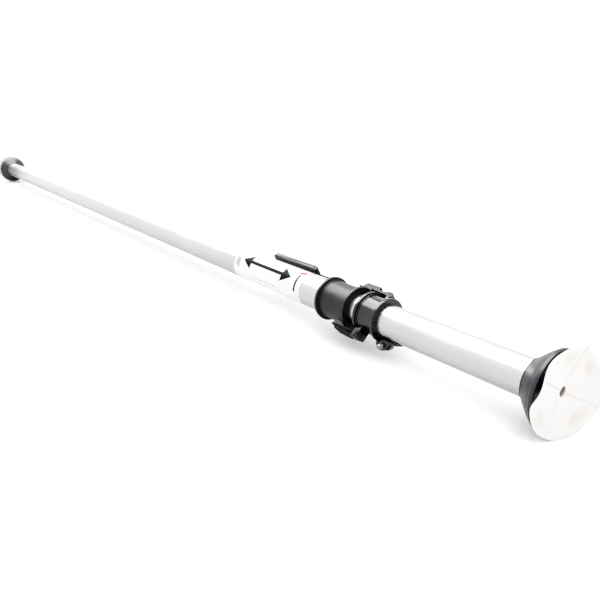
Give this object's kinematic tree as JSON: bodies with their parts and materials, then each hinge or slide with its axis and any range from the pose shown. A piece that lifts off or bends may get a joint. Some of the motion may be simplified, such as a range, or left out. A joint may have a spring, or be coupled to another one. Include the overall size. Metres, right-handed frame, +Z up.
{
  "type": "telescopic tension pole",
  "caption": "Closed telescopic floor-to-ceiling tension pole in satin aluminium, with black clamp collars, a tension lever, a clamp lever and white-padded rubber feet.",
  "frame": {"origin": "on the floor that the closed pole lies on, midway between the two feet, under the pole's axis", "axes": "+X along the pole towards the thin inner tube's foot, +Z up from the floor"},
  "size_m": [2.106, 0.088, 0.088],
  "materials": {
    "tube_aluminium": "satin anodised, fine lengthwise draw lines",
    "collar_black": "glass-filled nylon, fine moulded grain",
    "foot_rubber": "satin black rubber",
    "pad_white": "soft off-white non-marking rubber",
    "lever_steel": "black powder-coated steel",
    "zinc_hardware": "bright zinc plate",
    "bush_brass": "dull tan brass",
    "nylon_natural": "natural nylon",
    "label_paper": "white vinyl sticker, satin"
  },
  "bodies": {
    "base_section": {"outer_tube": "tube_aluminium", "fixed_collar": "collar_black", "mouth_bush": "nylon_natural", "collar_screws": "lever_steel", "link_pin": "lever_steel", "base_plug": "collar_black", "base_cup": "foot_rubber", "base_pad": "pad_white", "base_hub_bush": "bush_brass", "base_screw": "zinc_hardware", "tube_label": "label_paper"},
    "clamp_ring": {"clamp_collar": "collar_black", "clamp_liner": "nylon_natural", "pinch_screw": "zinc_hardware", "pinch_nut": "zinc_hardware", "tension_lever_pin": "lever_steel", "clamp_lever_pin": "lever_steel"},
    "tension_lever": {"tension_arm": "lever_steel", "tension_grip": "collar_black", "grip_rivets": "lever_steel", "crank_pin": "lever_steel"},
    "link": {"thrust_link": "lever_steel"},
    "clamp_handle": {"clamp_lever": "collar_black"},
    "shoe": {"brake_shoe": "foot_rubber"},
    "guide": {"guide_ring": "nylon_natural"},
    "inner_section": {"inner_tube": "tube_aluminium", "inner_end_plug": "collar_black", "top_plug": "collar_black", "top_cup": "foot_rubber", "top_pad": "pad_white", "top_hub_bush": "bush_brass", "top_screw": "zinc_hardware"}
  },
  "joints": [
    {"name": "tension_slide", "type": "slide", "parent": "base_section", "child": "clamp_ring", "axis": [-1, 0, 0], "range_m": [0, 0.0113]},
    {"name": "tension_lever_pivot", "type": "hinge", "parent": "clamp_ring", "child": "tension_lever", "pos_m": [0.816, 0.02472, 0.05715], "axis": [0, 0.4695, -0.8829], "range_deg": [0, 90]},
    {"name": "link_pivot", "type": "hinge", "parent": "tension_lever", "child": "link", "pos_m": [0.81034, 0.02972, 0.0598], "axis": [0, 0.4695, -0.8829], "range_deg": [-90, 0]},
    {"name": "clamp_lever_pivot", "type": "hinge", "parent": "clamp_ring", "child": "clamp_handle", "pos_m": [0.807, -0.02157, 0.02243], "axis": [0, -0.7071, 0.7071], "range_deg": [0, 100]},
    {"name": "shoe_lift", "type": "slide", "parent": "clamp_ring", "child": "shoe", "axis": [0, -0.7071, -0.7071], "range_m": [0, 0.0004]},
    {"name": "telescope", "type": "slide", "parent": "clamp_ring", "child": "guide", "axis": [1, 0, 0], "range_m": [0, 1.6]},
    {"name": "tube_swivel", "type": "hinge", "parent": "guide", "child": "inner_section", "pos_m": [0, 0, 0.044], "axis": [1, 0, 0], "continuous": true}
  ],
  "couplings": [
    {"joint": "tension_lever_pivot", "follows": "tension_slide", "rad_per_m": 138.84},
    {"joint": "link_pivot", "follows": "tension_slide", "rad_per_m": -138.84},
    {"joint": "shoe_lift", "follows": "clamp_lever_pivot", "m_per_rad": 0.00022918}
  ]
}
